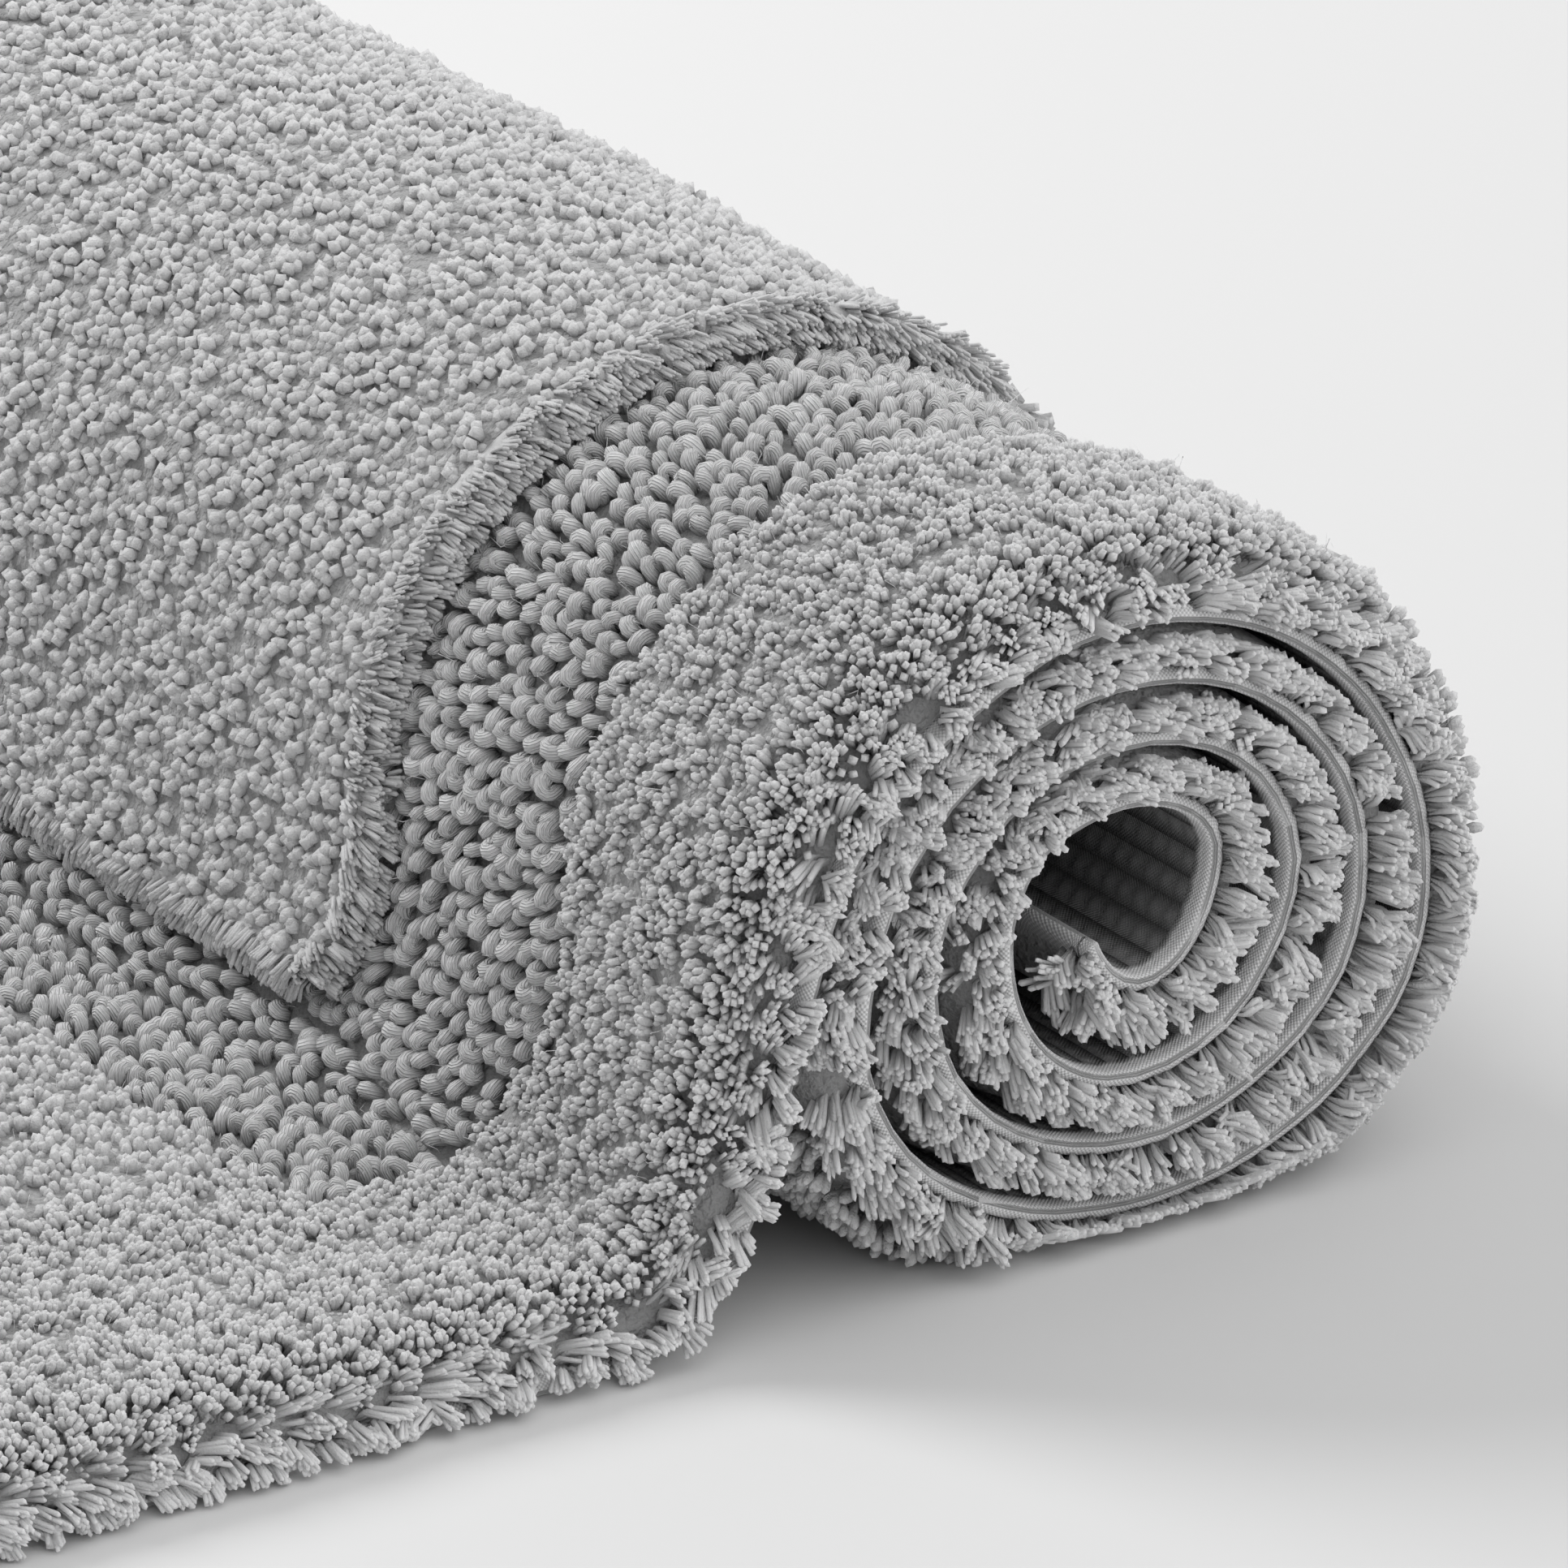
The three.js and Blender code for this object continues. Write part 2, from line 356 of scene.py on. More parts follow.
def add_mesh(name, points, faces, material, slot, uv=None, **attributes):
    """One piece from arrays: points in millimetres, kept above the floor, and triangles."""
    points[:, 2] = np.maximum(points[:, 2], 0)
    mesh = bpy.data.meshes.new(name)
    mesh.vertices.add(len(points))
    mesh.vertices.foreach_set("co", (points * MM).astype(np.float32).ravel())
    mesh.loops.add(faces.size)
    mesh.loops.foreach_set("vertex_index", faces.astype(np.int32).ravel())
    mesh.polygons.add(len(faces))
    mesh.polygons.foreach_set("loop_start", np.arange(0, faces.size, faces.shape[1]))
    mesh.update(calc_edges=True)
    mesh.shade_smooth()
    for key, values in attributes.items():
        layer = mesh.attributes.new(key, "FLOAT", "POINT")
        layer.data.foreach_set("value", values.astype(np.float32).ravel())
    if uv is not None:
        mesh.uv_layers.new(name="lie").uv.foreach_set("vector", uv.astype(np.float32).ravel())
    mesh.materials.append(material)
    piece = bpy.data.objects.new(name, mesh)
    bpy.context.collection.objects.link(piece)
    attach(piece, "root")
    return piece


def tubes(lines, radii, beside, sides):
    """Closed round strands. lines holds each strand's points, the first and last being its tips.

    beside is a direction square to the strand, from which its sides are counted.
    Returns points, faces, and for each face corner the turn round and the place along.
    """
    count, steps, _ = lines.shape
    tangent = np.gradient(lines, axis=1)
    tangent /= np.linalg.norm(tangent, axis=-1, keepdims=True)
    beside = np.repeat(beside[:, None], steps, 1)
    first = beside - (beside * tangent).sum(-1, keepdims=True) * tangent
    first /= np.linalg.norm(first, axis=-1, keepdims=True)
    second = np.cross(tangent, first)
    turn = np.arange(sides) * 2 * np.pi / sides
    ring = first[:, 1:-1, None] * np.cos(turn)[:, None] + second[:, 1:-1, None] * np.sin(turn)[:, None]
    rings = lines[:, 1:-1, None] + ring * radii[:, 1:-1, None, None]
    size = 2 + (steps - 2) * sides
    points = np.concatenate([lines[:, :1], rings.reshape(count, -1, 3), lines[:, -1:]], 1)

    k = np.arange(sides)
    after = (k + 1) % sides
    faces, corners = [], []

    def add_ring(numbers, places):
        """Triangles round the strand: three point numbers, and the turn and step of each corner."""
        faces.append(np.stack([number + 0 * k for number in numbers], -1))
        corners.append(np.stack([value + 0 * k for place in places for value in place], -1))

    add_ring((0, 1 + after, 1 + k), ((k + 0.5, 0), (k + 1, 1), (k, 1)))
    for row in range(1, steps - 2):
        a, b = 1 + (row - 1) * sides + k, 1 + (row - 1) * sides + after
        c, d = b + sides, a + sides
        add_ring((a, b, c), ((k, row), (k + 1, row), (k + 1, row + 1)))
        add_ring((a, c, d), ((k, row), (k + 1, row + 1), (k, row + 1)))
    last, end = 1 + (steps - 3) * sides, steps - 2
    add_ring((last + k, last + after, size - 1), ((k, end), (k + 1, end), (k + 0.5, end + 1)))
    faces = np.concatenate(faces)
    corners = np.concatenate(corners).reshape(-1, 3, 2) / [sides, steps - 1]
    all_faces = (faces[None] + size * np.arange(count)[:, None, None]).reshape(-1, 3)
    return points.reshape(-1, 3), all_faces, np.tile(corners, (count, 1, 1)).reshape(-1, 2)


def add_strands(name, lines, radii, beside, sides, material, tone, own, twisted=False):
    """A piece of round strands. tone is the shade of each step of a strand, from 0 at the roots to
    1 at the tips, and own a number of each strand's. tone is painted shade for the shade that falls
    among the strands. Twisted strands show their plies.
    """
    points, faces, corners = tubes(lines, radii, beside, sides)
    tone = np.broadcast_to(tone, lines.shape[:2])
    inner = np.repeat(tone[:, 1:-1], sides, 1)
    tone = np.concatenate([tone[:, :1], inner, tone[:, -1:]], 1)
    own = np.repeat(np.broadcast_to(own, len(lines)), len(points) // len(lines))
    uv = corners if twisted else None
    return add_mesh(name, points, faces, material, "cotton_pile", uv=uv, root=tone, own=own)


# Cut pile


ROW_SHARE = 0.87
LOOSE = 0.32


def scatter(along_range, side_range, gap, rng):
    """Places in a loose honeycomb, evenly spread where the tips are."""
    rows = np.arange(spread_at(along_range[0]), spread_at(along_range[1]), gap * ROW_SHARE)
    columns = np.arange(side_range[0], side_range[1], gap)
    u, side = np.meshgrid(rows, columns, indexing="ij")
    side = side + gap * 0.5 * (np.arange(len(rows)) % 2)[:, None]
    u = u + gap * LOOSE * rng.uniform(-1, 1, u.shape)
    side = side + gap * LOOSE * rng.uniform(-1, 1, u.shape)
    return np.interp(u.ravel(), SPREAD, ALONG), side.ravel()


def pick(places, wanted):
    """The places for which wanted is true."""
    along, side = places
    keep = wanted(along, side)
    return along[keep], side[keep]


# A clump's tips splay out from its middle and sink towards its sides.
CLUMP = 4.2
FAR_CLUMP = 11
CLUMP_HALF = 0.55
CLUMP_WANDER = 1.1
CLUMP_HEIGHT = 1.3
SPLAY = 0.26
FIELD_LIFT = 2.0
BORDER_LIFT = 0.8
# Over the rim the tips stand lower and lean out, by distance in from the edge. Pile pressed to less
# than FULL_PILE drops less.
RIM_AT = [-0.8, 1.5, 4, 9, 15]
RIM_DROP = [5.2, 2.8, 1.2, 0.3, 0]
RIM_LEAN = [2.2, 1.3, 0.6, 0.15, 0]
FULL_PILE = 13
# Shapes of a tip: how far it sinks at a clump's side, its least width as a share of the gap, and
# its steps below the head with their thickness, both in widths.
TIP_SHAPES = {
    "dome": (1.7, 0.49, [-1.9, -0.55, 0], [0, 1, 0.74, 0]),
    "cone": (1.2, 0.58, [-0.9, 0], [0, 1, 0]),
    "pad": (0.6, 0.56, [-0.42, 0], [0, 1, 0]),
}
TIP_SIDES = 4
TIP_WIDTH_MORE = 0.13
TIP_REACH = 4.6


def tips(name, places, gap, shape, material, rng, clump=CLUMP):
    """Cut ends of the yarn, in round clumps from whose middles they splay out."""
    along, side = places
    sink, least_width, below, thick = TIP_SHAPES[shape]
    u = spread_at(along)
    bent_u = u + CLUMP_WANDER * swell(u, side, 6, 22)
    bent_side = side + CLUMP_WANDER * swell(u, side, 6, 23)
    to_u, to_v, far, number = nearest_clump(bent_u, bent_side, clump, 21)
    share = np.minimum(far / (clump * CLUMP_HALF), 1.25)
    lift = np.where(depth_at(along, side) > BAND / 2, FIELD_LIFT, BORDER_LIFT)
    inset = np.minimum(inward(side), LENGTH - along)
    full = top_height(along, side)
    height = full + CLUMP_HEIGHT * (number - 0.5) + lift - sink * share**2
    height = height - np.interp(inset, RIM_AT, RIM_DROP) * np.minimum(full / FULL_PILE, 1)
    height = height + 0.5 * swell(u, side, 2.4, 24) + rng.uniform(-0.35, 0.35, along.shape)
    height = np.minimum(np.maximum(height, LEAST_PILE), room_at(along) + 0.5)
    ahead, across, up = ways(along)
    tilt_u = -SPLAY * to_u + 0.4 * swell(u, side, 12, 31) + rng.uniform(-0.2, 0.2, u.shape)
    tilt_v = -SPLAY * to_v + 0.4 * swell(u, side, 12, 32) + rng.uniform(-0.2, 0.2, u.shape)
    at_end = LENGTH - along < inward(side)
    lean = np.interp(inset, RIM_AT, RIM_LEAN)
    tilt_u = tilt_u + np.where(at_end, lean, 0)
    tilt_v = tilt_v + np.where(at_end, 0, np.where(side < WIDTH / 2, -lean, lean))
    way = up + tilt_u[:, None] * ahead + tilt_v[:, None] * across
    way /= np.linalg.norm(way, axis=-1, keepdims=True)
    width = gap * (least_width + TIP_WIDTH_MORE * rng.random(u.shape))
    reach = np.minimum(TIP_REACH + rng.random(u.shape), np.maximum(height - 1.2, 2 * width))
    drop = np.concatenate([-reach[:, None], width[:, None] * np.array(below)], 1)
    lines = lay(along, side, height)[:, None] + drop[..., None] * way[:, None]
    spin = rng.random(u.shape) * 2 * np.pi
    beside = np.cos(spin)[:, None] * ahead + np.sin(spin)[:, None] * across
    own = 0.6 * rng.random(u.shape) + 0.4 * number
    # Painted shade: each tip darkens down towards its root and towards the sides of its clump.
    tone = 1 + drop / 6 - 0.15 * share[:, None] ** 2
    return add_strands(name, lines, width[:, None] * np.array(thick), beside, TIP_SIDES, material, tone, own)


# Loops and single fibres


YARN = 1.1
LOOP_HALF = 0.5
LOOP_TALL = 5.5
LOOP_SAG = 0.7
DOWN = np.array([0, 0, -1.0])


def loops(name, along, side, sides, steps, material, rng):
    """Arches of plied yarn. Where the mat is steep they hang down."""
    u = spread_at(along)
    ahead, across, up = ways(along)
    height = top_height(along, side) + 0.6 + rng.uniform(-0.9, 0.7, along.shape)
    steep = 1 - np.abs(up[:, 2])
    lean = up + (LOOP_SAG * steep)[:, None] * DOWN
    lean += (0.28 * swell(u, side, 12, 61) + rng.uniform(-0.3, 0.3, u.shape))[:, None] * ahead
    lean += (0.28 * swell(u, side, 12, 62) + rng.uniform(-0.3, 0.3, u.shape))[:, None] * across
    lean /= np.linalg.norm(lean, axis=-1, keepdims=True)
    turned = rng.uniform(-1.6, 1.6, u.shape)
    row_way = np.cos(turned)[:, None] * across + np.sin(turned)[:, None] * ahead
    row_way -= (row_way * lean).sum(-1, keepdims=True) * lean
    row_way /= np.linalg.norm(row_way, axis=-1, keepdims=True)
    thick = YARN + 0.42 * rng.random(u.shape)
    half = LOOP_HALF + 0.8 * rng.random(u.shape)
    tall = np.minimum(LOOP_TALL + rng.random(u.shape), height - 1)
    foot = lay(along, side, height) - lean * tall[:, None]
    angle = np.pi * np.linspace(0, 1, steps)
    out = -np.cos(angle) * (1 + 0.35 * np.sin(angle))
    rise = np.sin(angle) ** 0.65
    lines = foot[:, None] + (half[:, None] * out)[..., None] * row_way[:, None]
    lines = lines + ((tall - thick)[:, None] * rise)[..., None] * lean[:, None]
    square = np.cross(row_way, lean)
    aside = (0.5 * rng.uniform(-1, 1, u.shape))[:, None] * np.cos(angle)
    lines = lines + aside[..., None] * square[:, None]
    radii = thick[:, None] * (0.9 + 0.1 * np.sin(angle))
    own = rng.random(u.shape)
    # The rise also gives painted shade: the yarn darkens down towards each loop's feet.
    return add_strands(name, lines, radii, square, sides, material, rise, own, twisted=True)


FIBRE = 0.06


def fuzz(name, along, side, material, rng):
    """Single fibres that stand off the pile."""
    ahead, across, up = ways(along)
    bow = rng.normal(size=(2, len(along), 3)) * [1, 1, 0.6]
    root = lay(along, side, top_height(along, side) - 2.5)
    middle = root + up * rng.uniform(2.4, 4.2, (len(along), 1)) + 0.9 * bow[0]
    end = middle + 0.8 * up * rng.uniform(-0.6, 1.2, (len(along), 1)) + 1.1 * bow[1]
    lines = np.stack([root, (root + middle) / 2 + 0.3 * bow[1], middle, end], 1)
    radii = np.full(lines.shape[:2], FIBRE)
    return add_strands(name, lines, radii, ahead + 0.3 * across, 3, material, 1.0, 1.0)


# Fans: the tufts at the rim and at the field's bank, which lean out and show their strands


FAN_STEPS = np.array([0, 0.52, 0.95, 1])
FAN_THICK = np.array([0, 1.05, 0.92, 0])
FAN_SIDES = 4
FAN_BROAD = 2.0
FAN_LOW = 0.3
ROOT_HEIGHT = 2.2
# The rim is rounded: by distance in from the edge, the share of the pile's height that strands
# reach. Inside the roll only a part of that rounding is left.
RIM_ROUND_AT = [-7, -4, -2, 0, 3, 8, 12]
RIM_ROUND = [0.25, 0.48, 0.62, 0.74, 0.88, 0.98, 1]
ROUND_INSIDE = 0.25
# Tufts of each piece: the gap between them, the strands in each and how thick those are.
TUFTS = {
    "rim_rolled": (4.3, 11, 0.53),
    "rim_near": (4.3, 14, 0.49),
    "rim_far": (11, 5, 1.0),
    "rim_end": (8, 5, 1.0),
    "bank": (2.4, 12, 0.38),
    "bank_beyond": (9, 4, 1.0),
}


def fans(name, columns, limit, material, rng, tone=(0.4, 0.6)):
    """Tufts of strands. All lengths are along the mat, across it and above its back.

    columns holds for each tuft its place along and across, the direction it leans in, its angles
    off upright at the root and at the tip, its length, its swing aside and the height of its root.
    limit is how high it may stand, and tone its painted shade at the root with its change up to the tip.
    """
    _, count, width = TUFTS[name]
    tufts = len(limit)
    r = FAN_BROAD * np.sqrt(rng.random((tufts, count)))
    around = 2 * np.pi * rng.random((tufts, count))
    a, b = (r * np.cos(around)).ravel(), (r * np.sin(around)).ravel()
    u, side, out_u, out_side, start, stop, length, swing, base = (np.repeat(v, count) for v in columns)
    limit = np.repeat(limit, count)
    length = length * (1 - 0.055 * (a**2 + b**2)) * rng.uniform(0.9, 1.06, u.shape)
    own = np.repeat(rng.random(tufts), count) * 0.5 + 0.5 * rng.random(u.shape)
    start = np.radians(start + rng.uniform(-6, 6, u.shape))
    stop = np.radians(stop + rng.uniform(-9, 9, u.shape))
    pressed = np.arccos(np.clip((limit - base) / length, 0.05, 1))
    more = np.maximum(pressed - (start + stop) / 2, 0)
    start, bend = (start + more)[:, None], np.maximum(stop - start, 0.05)[:, None]
    angle = start + bend * FAN_STEPS
    out = length[:, None] * (np.cos(start) - np.cos(angle)) / bend
    rise = length[:, None] * (np.sin(angle) - np.sin(start)) / bend
    grow = FAN_LOW + (1 - FAN_LOW) * FAN_STEPS
    out = out + b[:, None] * grow * np.cos(angle)
    height = np.maximum(base[:, None] + rise - b[:, None] * grow * np.sin(angle), 0.4)
    drift = (length * swing)[:, None] * FAN_STEPS**1.5 + a[:, None] * grow
    line_u = u[:, None] + out * out_u[:, None] + drift * out_side[:, None]
    line_side = side[:, None] + out * out_side[:, None] - drift * out_u[:, None]
    line_along = along_at(line_u)
    line_in = np.minimum(inward(line_side), LENGTH - line_along)
    top = np.interp(line_in, RIM_ROUND_AT, RIM_ROUND)
    inside = ROUND_INSIDE * top + 1 - ROUND_INSIDE
    top = np.where(line_along < EXPOSED, inside, top) * limit[:, None]
    height = np.minimum(height, top - 0.9 * rng.random(u.shape)[:, None])
    lines = lay(line_along, line_side, height)
    width = width * (1 + 0.18 * rng.uniform(-1, 1, u.shape))
    ahead, across, _ = ways(line_along[:, 0])
    beside = out_side[:, None] * ahead - out_u[:, None] * across
    # Painted shade: strands darken towards the root, the more so on the side of the tuft that faces into the
    # pile.
    tone = tone[0] + tone[1] * FAN_STEPS - 0.2 * (1 - b[:, None] / FAN_BROAD) * (1 - FAN_STEPS)
    return add_strands(name, lines, width[:, None] * FAN_THICK, beside, FAN_SIDES, material, tone, own)


# Rows of tufts at a side, from the hem inwards: where they stand, their angles off upright at
# root and tip on the roll, and the same on the flat, with the length there.
RIM_ROWS = [
    (1.6, (40, 94), (52, 148), 7.0),
    (3.0, (28, 82), (38, 128), 9.4),
    (4.6, (16, 68), (24, 104), 11.2),
    (6.6, (6, 52), (10, 80), 12.2),
    (9.2, (-4, 40), (0, 56), 12.6),
]
# On the roll the tufts are as long as the pile is high, less near the hem, by where they stand.
FREE_SHARE_AT = [1.6, 5]
FREE_SHARE = [0.6, 0.9]
PILE_BESIDE = 12.0
AIMLESS = 0.6
ON_ROLL = 790
ON_FLAT = 875


def rim_fans(name, rows, first, last, material, rng, far=False):
    """The mat's pile where it bulges out over the hem at a long side."""
    pitch = TUFTS[name][0]
    parts = []
    for row_in, rolled, flat, flat_length in rows:
        u = np.arange(first, last, pitch)
        u = u + pitch * rng.uniform(-0.18, 0.18, u.shape) + pitch / 2 * (len(parts) % 2)
        along = np.interp(u, SPREAD, ALONG)
        inset = row_in + rng.uniform(-0.6, 0.6, u.shape)
        level = np.clip((along - ON_ROLL) / (ON_FLAT - ON_ROLL), 0, 1)
        level = level * level * (3 - 2 * level)
        wide = rng.uniform(-1, 1, u.shape)
        start = rolled[0] + (flat[0] - rolled[0]) * level + 8 * wide
        stop = rolled[1] + (flat[1] - rolled[1]) * level + 13 * wide
        beside = np.full(u.shape, PILE_BESIDE)
        length = (pile_height(along, beside) - ROOT_HEIGHT) * np.interp(row_in, FREE_SHARE_AT, FREE_SHARE)
        length = (length + (flat_length - length) * level) * rng.uniform(0.92, 1.04, u.shape)
        limit = np.minimum(top_height(along, beside), room_at(along)) - 0.4
        parts.append([u, inset, start, stop, length, limit, rng.uniform(-0.6, 0.6, u.shape)])
    u, inset, start, stop, length, limit, swing = (np.concatenate(v) for v in zip(*parts))
    aim = AIMLESS * rng.uniform(-1, 1, u.shape)
    away = np.cos(aim) * (1 if far else -1)
    side = WIDTH - inset if far else inset
    base = np.full(u.shape, ROOT_HEIGHT)
    columns = (u, side, np.sin(aim), away, start, stop, length, swing, base)
    return fans(name, columns, limit, material, rng)


def end_fans(name, rows, material, rng):
    """The pile over the hem of the flat end."""
    pitch = TUFTS[name][0]
    parts = []
    for row_in, _, flat, flat_length in rows:
        side = np.arange(3.0, WIDTH - 2, pitch)
        side = side + pitch * rng.uniform(-0.28, 0.28, side.shape)
        inset = row_in + rng.uniform(-0.6, 0.6, side.shape)
        wide = rng.uniform(-1, 1, side.shape)
        length = flat_length * rng.uniform(0.88, 1.08, side.shape)
        swing = rng.uniform(-0.34, 0.34, side.shape)
        start, stop = flat[0] + 9 * wide, flat[1] + 14 * wide
        u, one = spread_at(LENGTH - inset), np.ones(side.shape)
        parts.append([u, side, one, 0 * one, start, stop, length, swing, ROOT_HEIGHT * one])
    columns = [np.concatenate(v) for v in zip(*parts)]
    return fans(name, columns, np.full(len(columns[0]), FREE), material, rng)


# Rows of tufts of the bank, from its edge inwards: where they stand, their angles, their length
# and the height of their roots.
BANK_ROWS = [(1.8, (30, 138), 6.0, 10.8), (3.2, (24, 126), 7.6, 12.4), (5.2, (10, 96), 8.0, 12.8)]
# Painted shade of the bank's strands, at the root and its change up to the tip: they darken towards the tips
# that hang into the trench.
BANK_PAINTED_SHADE = (1.05, -0.35)
FIELD_START = SIDE_BORDER + BAND
FIELD_END = LENGTH - END_BORDER - BAND


def bank_fans(name, arms, material, rng):
    """The brushed edge of the field, which droops over the band of loops."""
    pitch = TUFTS[name][0]
    parts = []
    for arm, first, last in arms:
        for depth, lean, length, root in BANK_ROWS:
            run = np.arange(first, last, pitch)
            run = run + pitch * rng.uniform(-0.3, 0.3, run.shape)
            depth_in = depth + rng.uniform(-0.5, 0.5, run.shape)
            if arm == "end":
                u, side, out_u, out_side = spread_at(FIELD_END - depth_in), run, 1.0, 0.0
            else:
                u, out_u, out_side = run, 0.0, -1.0
                side = FIELD_START + depth_in - wander_at(np.interp(u, SPREAD, ALONG))
                if arm == "far":
                    side, out_side = WIDTH - side, 1.0
            wide = rng.uniform(-1, 1, run.shape)
            drift = 0.30 * swell(run, run * 0, 14, 75) + rng.uniform(-0.16, 0.16, run.shape)
            size = length * rng.uniform(0.9, 1.1, run.shape)
            start, stop, one = lean[0] + 3 * wide, lean[1] + 6 * wide, np.ones(run.shape)
            parts.append([u, side, out_u * one, out_side * one, start, stop, size, drift, root * one])
    columns = [np.concatenate(v) for v in zip(*parts)]
    return fans(name, columns, np.full(len(columns[0]), FREE), material, rng, BANK_PAINTED_SHADE)


# The bead under the bank's tufts: how far it lies inside the field's edge, its height and its radius.
BEAD_IN = 4.6
BEAD_HEIGHT = 12.4
BEAD_RADIUS = 3.6
BEAD_STEP = 3.0
BEAD_SIDES = 10


def lip(name, first, last, middle, material):
    """The bank's body: a round bead under the tufts, round the field's corner."""
    u = np.arange(first, last - 4, BEAD_STEP)
    side = FIELD_START + BEAD_IN - wander_at(along_at(u))
    corner = spread_at(FIELD_END - BEAD_IN)
    run = np.arange(side[-1] + BEAD_STEP / 2, middle, BEAD_STEP)
    u, side = np.append(u, corner + 0 * run), np.append(side, run)
    lines = lay(along_at(u), side, np.full(u.shape, BEAD_HEIGHT))[None]
    radii = np.full((1, len(u)), BEAD_RADIUS)
    # The bead carries a constant painted shade, darker than the tops of the strands over it.
    return add_strands(name, lines, radii, -DOWN[None], BEAD_SIDES, material, 0.5, 0.3)


# Ground cloth


# Weave and back stitches, from one thread or row to the next, and the width of the turned hem.
WARP_STEP = 0.36
RIB_STEP = 4.4
STITCH_STEP = 4.0
HEM_WIDE = 4.5
# Painted shade of the pile's body, where it shows between the tips, and the lighter painted shade of the
# body under the far clumps.
UNDER_PILE_PAINTED_SHADE = 0.5
FAR_BODY_PAINTED_SHADE = 0.74

# The pile's body bulges out over the hem. For each place inwards from the edge on the cloth, how far
# inwards the body really lies and how high.
BODY_INSET = [3.0, 4.5, 6.5, 9, 12]
BODY_AT = [3.0, 2.5, 2.8, 4.6, 9.6]
BODY_HEIGHT = [3.0, 4.2, 6.0, 7.8, 9.4]
BODY_FROM = 11
BODY_TO = 16
# How far the body stays below the top of the pile: under loops, under cut tips, inside the roll,
# and how much less under the far clumps.
BELOW_LOOPS = 3.5
BELOW_TIPS = 1.9
BELOW_ROLLED = 0.5
FAR_RAISED = 0.9
LEAST_BODY = 3.2
# Gaps between the sheet's points: along it in the core, in the roll and where it shows, and across
# it on the near part and beyond.
CORE_GAP = 2.5
ROLLED_GAP = 5.5
SHOWN_GAP = 4.6
NEAR_GAP = 4.2
BEYOND_GAP = 12
FINE_PART = 120


def base_height(along, side):
    """Top of the ground that the pile's ends stand in, under the tips and loops."""
    inset = inset_at(along, side)
    depth = depth_at(along, side)
    below = np.where((depth > -0.5) & (depth < BAND + 1.5), BELOW_LOOPS, BELOW_TIPS)
    below = np.where(depth > BAND + 4, BELOW_TIPS - 0.8 * FIELD_LIFT, below)
    below = np.where(along < HIDDEN, BELOW_ROLLED, below - FAR_RAISED * far_zone(along, side))
    ground = np.maximum(top_height(along, side) - below, LEAST_BODY)
    body = np.minimum(np.interp(inset, BODY_INSET, BODY_HEIGHT), ground)
    blend = np.clip((inset - BODY_FROM) / (BODY_TO - BODY_FROM), 0, 1)
    inner = body + (ground - body) * blend
    hem = np.interp(inset, HEM_INSET, HEM_TOP)
    return np.where(inset < SEWN + 0.01, hem, inner)


def body_shift(inset):
    """How far out the pile's body lies from its place on the cloth."""
    shift = np.interp(inset, BODY_INSET, np.array(BODY_AT) - BODY_INSET)
    fade = np.clip((BODY_TO - inset) / 4, 0, 1)
    return np.where((inset < SEWN + 0.01) | (inset > BODY_TO), 0, shift * fade)


def thread_places(place, extent, profile, sign):
    """Where a point lies in the threads, measured over the fold of the hem at either edge."""
    arc = np.append(0, np.cumsum(np.hypot(np.diff(HEM_INSET), np.diff(profile))))
    inset = np.minimum(place, extent - place)
    folded = np.where(inset < SEWN, np.interp(inset, HEM_INSET, arc), arc[-1] + inset - SEWN)
    return np.where(place < extent / 2, sign * folded, extent - sign * folded)


def steps_between(start, end, gap):
    """Even steps of about gap, from start to just before end."""
    count = max(1, round((end - start) / gap))
    return np.linspace(start, end, count + 1)[:-1]


def mirrored(insets, extent):
    return [extent - inset for inset in reversed(insets)]


RIM_COLUMNS = HEM_INSET + BODY_INSET[1:]
CORE_FROM = 6.5


def cloth_rows():
    """Places along the mat of the sheet's rows of points."""
    rows = HEM_INSET + [BODY_INSET[1], *steps_between(CORE_FROM, FINE_PART, CORE_GAP)]
    rows += [*steps_between(FINE_PART, EXPOSED, ROLLED_GAP)]
    rows += [*steps_between(EXPOSED, LENGTH - BODY_TO, SHOWN_GAP), LENGTH - BODY_TO]
    return np.array(rows + mirrored(RIM_COLUMNS, LENGTH))


def cloth_columns():
    """Places across the mat of the columns of points on the pile's side."""
    columns = RIM_COLUMNS + [*steps_between(BODY_TO, FINE_PART, NEAR_GAP)]
    columns += [*steps_between(FINE_PART, WIDTH - BODY_TO, BEYOND_GAP), WIDTH - BODY_TO]
    return np.array(columns + mirrored(RIM_COLUMNS, WIDTH))


def back_columns():
    """The same for the underside, which is plain."""
    near = HEM_INSET + [HEM_WIDE, 30, 90]
    return np.array(near + [WIDTH / 2] + mirrored(near, WIDTH))


def zipped(first, second, first_at, second_at):
    """Triangles between two lines of points that run side by side."""
    faces = []
    i = j = 0
    while i < len(first) - 1 or j < len(second) - 1:
        if j == len(second) - 1 or (i < len(first) - 1 and first_at[i + 1] <= second_at[j + 1]):
            faces.append((first[i], first[i + 1], second[j]))
            i += 1
        else:
            faces.append((first[i], second[j + 1], second[j]))
            j += 1
    return faces


def grid_faces(index):
    """Triangles between the rows of a grid of point numbers."""
    a, b = index[:-1, :-1], index[:-1, 1:]
    c, d = index[1:, 1:], index[1:, :-1]
    return np.concatenate([np.stack([a, b, c], -1).reshape(-1, 3), np.stack([a, c, d], -1).reshape(-1, 3)])


def waver(along, side):
    """How far the hem strays from its straight line, fading out inwards."""
    inset = inward(side)
    stray = 0.45 * swell(along, side * 0 + (side > WIDTH / 2), 9, 91) * np.clip(1 - inset / 8, 0, 1)
    return np.where(side < WIDTH / 2, stray, -stray)


